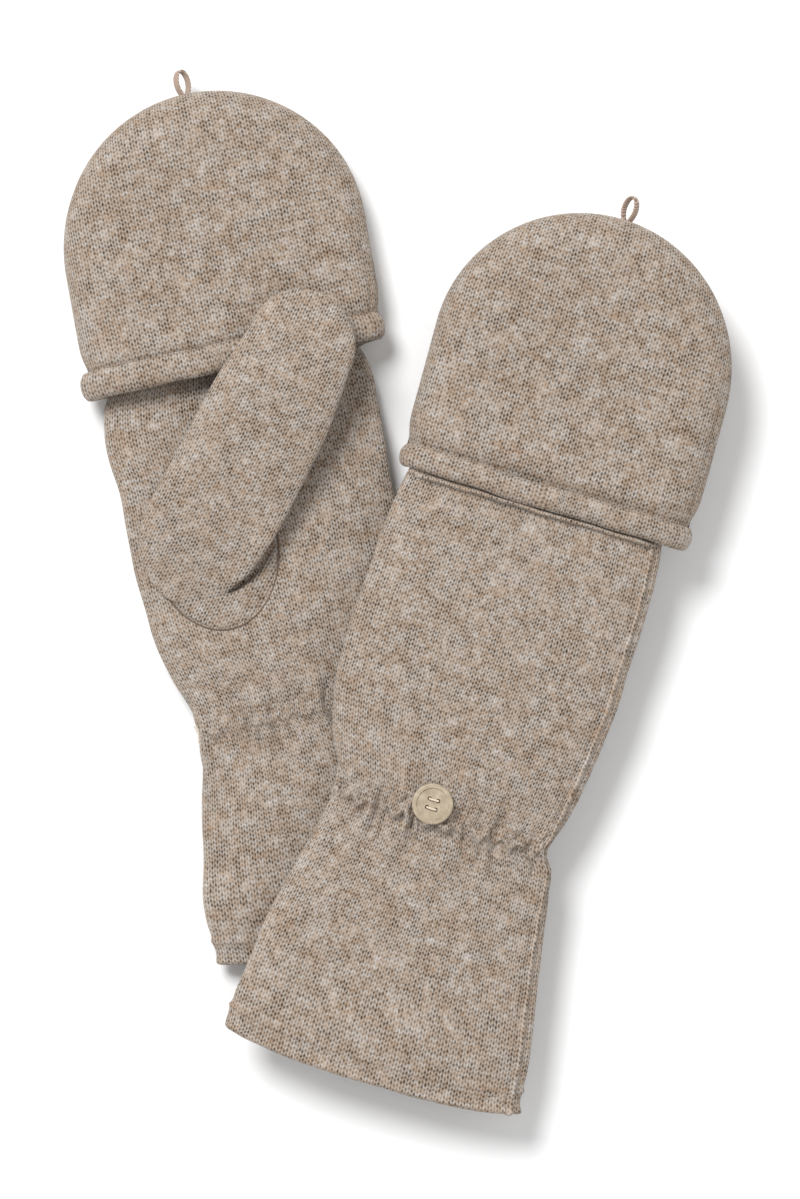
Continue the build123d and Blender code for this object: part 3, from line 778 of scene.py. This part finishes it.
def thumb(place):
    """The thumb: a flat full tube that rises out of the gusset and lies across the palm and over the rim."""
    side, columns = place.side, 150
    end = THUMB_END - THUMB_TIP
    root_length = THUMB_FULL - THUMB_START
    quarter = np.pi / 2
    tip_part = end + THUMB_TIP * np.sin(np.linspace(0, quarter, 46))[1:]
    root_part = THUMB_START + root_length * (1 - np.cos(np.linspace(0, quarter, 24)))
    rows = np.concatenate([root_part, np.linspace(THUMB_FULL, end, 84)[1:], tip_part])
    # both ends are rounded, in width and less so in thickness
    tip_round = np.sqrt(np.maximum(1 - (np.maximum(rows - end, 0) / THUMB_TIP) ** 2, 1e-5))
    root_round = np.sqrt(np.maximum(1 - (np.maximum(THUMB_FULL - rows, 0) / root_length) ** 2, 1e-4))
    taper = tip_round ** 0.75 * root_round ** 0.5
    half = curve_through([12, 24, 34, 48, 83, 100, 111.5, 131],
                         [12, 17.5, 21.0, 22.0, 21.8, 20.2, 18.8, 18.8], rows) * tip_round * root_round
    centre = curve_through([12, 24, 40, 60, 100, 131], [60.5, 61.5, 60.5, 59.6, 59.4, 60.6], rows)
    # how far its two faces stand off the palm
    lower = curve_through([8, 12, 22, 30, 42, 80, 96, 131], [-3.0, -2.6, -0.9, 0.8, 1.8, 6.4, 8.6, 9.6], rows)
    upper = curve_through([8, 12, 20, 30, 42, 80, 96, 131], [0.0, 0.3, 2.3, 6.2, 9.6, 15.6, 18.2, 19.0], rows)
    mid = PALM_Z - (lower + upper) / 2
    thick = (upper - lower) / 2
    turn = full_turn(columns)
    flat = rounded(np.cos(turn), 2 / THUMB_POWER)
    high = rounded(np.sin(turn), 2 / THUMB_POWER)
    across = centre[:, None] + half[:, None] * flat[None]
    along = np.repeat(rows[:, None], columns, 1)
    z = mid[:, None] - (thick * taper)[:, None] * high[None]
    waves, fine = Waves(7, 22, 55), Waves(8, 9, 20)
    ripple = 0.35 * waves(across, along) + 0.12 * fine(across, along)
    lift = ripple * np.abs(high)[None] * smooth(20, 45, along) * taper[:, None]
    z = z - lift * np.sign(high)[None]
    # near the root, its inner edge stands off the gusset
    under = smooth(18, 30, rows) * smooth(60, 44, rows)
    z = z - (2.4 * under)[:, None] * smooth(0.5, 1.0, -flat)[None]
    points = np.stack([across * ACROSS[0] + along * ALONG[0], across * ACROSS[1] + along * ALONG[1], z], -1)
    # the knit's columns are counted round the tube from the middle of its outer face
    across_closed, z_closed = (np.concatenate([each, each[:, :1]], 1) for each in (across, z))
    girth = np.cumsum(np.hypot(np.diff(across_closed), np.diff(z_closed)), 1)
    girth = np.concatenate([np.zeros_like(girth[:, :1]), girth], 1)
    u = centre[:, None] + girth[:, [round(columns / 4)]] - girth
    v = np.cumsum(np.hypot(np.diff(rows)[:, None], np.diff(z_closed, axis=0)), 0)
    v = rows[0] + np.concatenate([np.zeros_like(v[:1]), v], 0)
    piece = surface(place, f"{side}_thumb_cloth", points, np.stack([u, v], -1), False, True)
    dress(piece, KNIT["thumb"], "knit", None, "thumb_sleeve")
    root = THUMB_ROOT[0] * ALONG[0] + THUMB_ROOT[1] * ALONG[1]
    ends = [place.world(np.array([*(ACROSS * 59.5 + ALONG * (root + at)), PALM_Z - 5])) for at in THUMB_BLEND]
    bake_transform(piece)


# ---------------------------------------------------------------- build both mittens
def mitten(side):
    """All of one mitten: its cloth and loop, and the CAD pieces that stay, with their materials."""
    place = Frame(side)
    hand_wrap(place)
    hood_panel(place, 1)
    hood_panel(place, -1)
    for make in (hood_rim, hood_seam, loop, thumb_gusset, gusset_seam_shade, thumb):
        make(place)
    looks = {"wrist_elastic": ELASTIC, "wrist_button": BUTTON_LOOK, "button_thread": THREAD}
    for node, material in looks.items():
        mesh = frame["nodes"][f"{side}_{node}"].data
        mesh.materials.clear()
        mesh.materials.append(material)
        mesh.polygons.foreach_set("use_smooth", [node == "button_thread"] * len(mesh.polygons))


# ---------------------------------------------------------------- floor, light and camera
# These sizes are in metres. The camera looks straight down.
VIEW_CENTRE = (0.0014, -0.0042)
VIEW_HEIGHT = 1199 * 0.346 * MM  # the photograph's pixels, times a pixel's size
CAMERA_HEIGHT = 2.0
SUBJECT_HEIGHT = 0.02
SENSOR = 36
FLOOR_REACH = 3.0


def floor():
    """A pale matt floor."""
    mesh = bpy.data.meshes.new("floor")
    corners = [(x * FLOOR_REACH, y * FLOOR_REACH, 0) for x, y in ((-1, -1), (1, -1), (1, 1), (-1, 1))]
    mesh.from_pydata(corners, [], [(0, 1, 2, 3)])
    piece = add_object("floor", mesh)
    material = bpy.data.materials.new("floor")
    material.use_nodes = True
    shader = material.node_tree.nodes["Principled BSDF"]
    shader.inputs["Base Color"].default_value = (0.86, 0.86, 0.86, 1)
    shader.inputs["Roughness"].default_value = 0.9
    mesh.materials.append(material)


def area_light(name, position, size, power):
    """A round light that points at the origin."""
    data = bpy.data.lights.new(name, "AREA")
    data.shape = "DISK"
    data.size = size
    data.energy = power
    light = add_object(name, data)
    light.location = position
    light.rotation_euler = (-light.location).to_track_quat("-Z", "Y").to_euler()


def studio():
    """A large key light from the upper left, a weak fill and an even white world."""
    area_light("key", (-1.2, 1.76, 3.1), 1.5, 140)
    area_light("fill", (0.8, -0.3, 1.9), 2.4, 12)
    world = bpy.data.worlds.new("studio")
    world.use_nodes = True
    background = world.node_tree.nodes["Background"]
    background.inputs[0].default_value = (1, 1, 1, 1)
    background.inputs[1].default_value = 0.5
    bpy.context.scene.world = world
    bpy.context.scene.view_settings.view_transform = "Standard"
    bpy.context.scene.view_settings.look = "None"


def camera():
    """A camera over the pair, as in the photograph."""
    data = bpy.data.cameras.new("camera")
    data.sensor_fit = "VERTICAL"
    data.sensor_height = SENSOR
    data.lens = SENSOR * (CAMERA_HEIGHT - SUBJECT_HEIGHT) / VIEW_HEIGHT
    view = add_object("camera", data)
    view.location = (*VIEW_CENTRE, CAMERA_HEIGHT)
    bpy.context.scene.camera = view


for each in ("left", "right"):
    mitten(each)
floor()
studio()
camera()
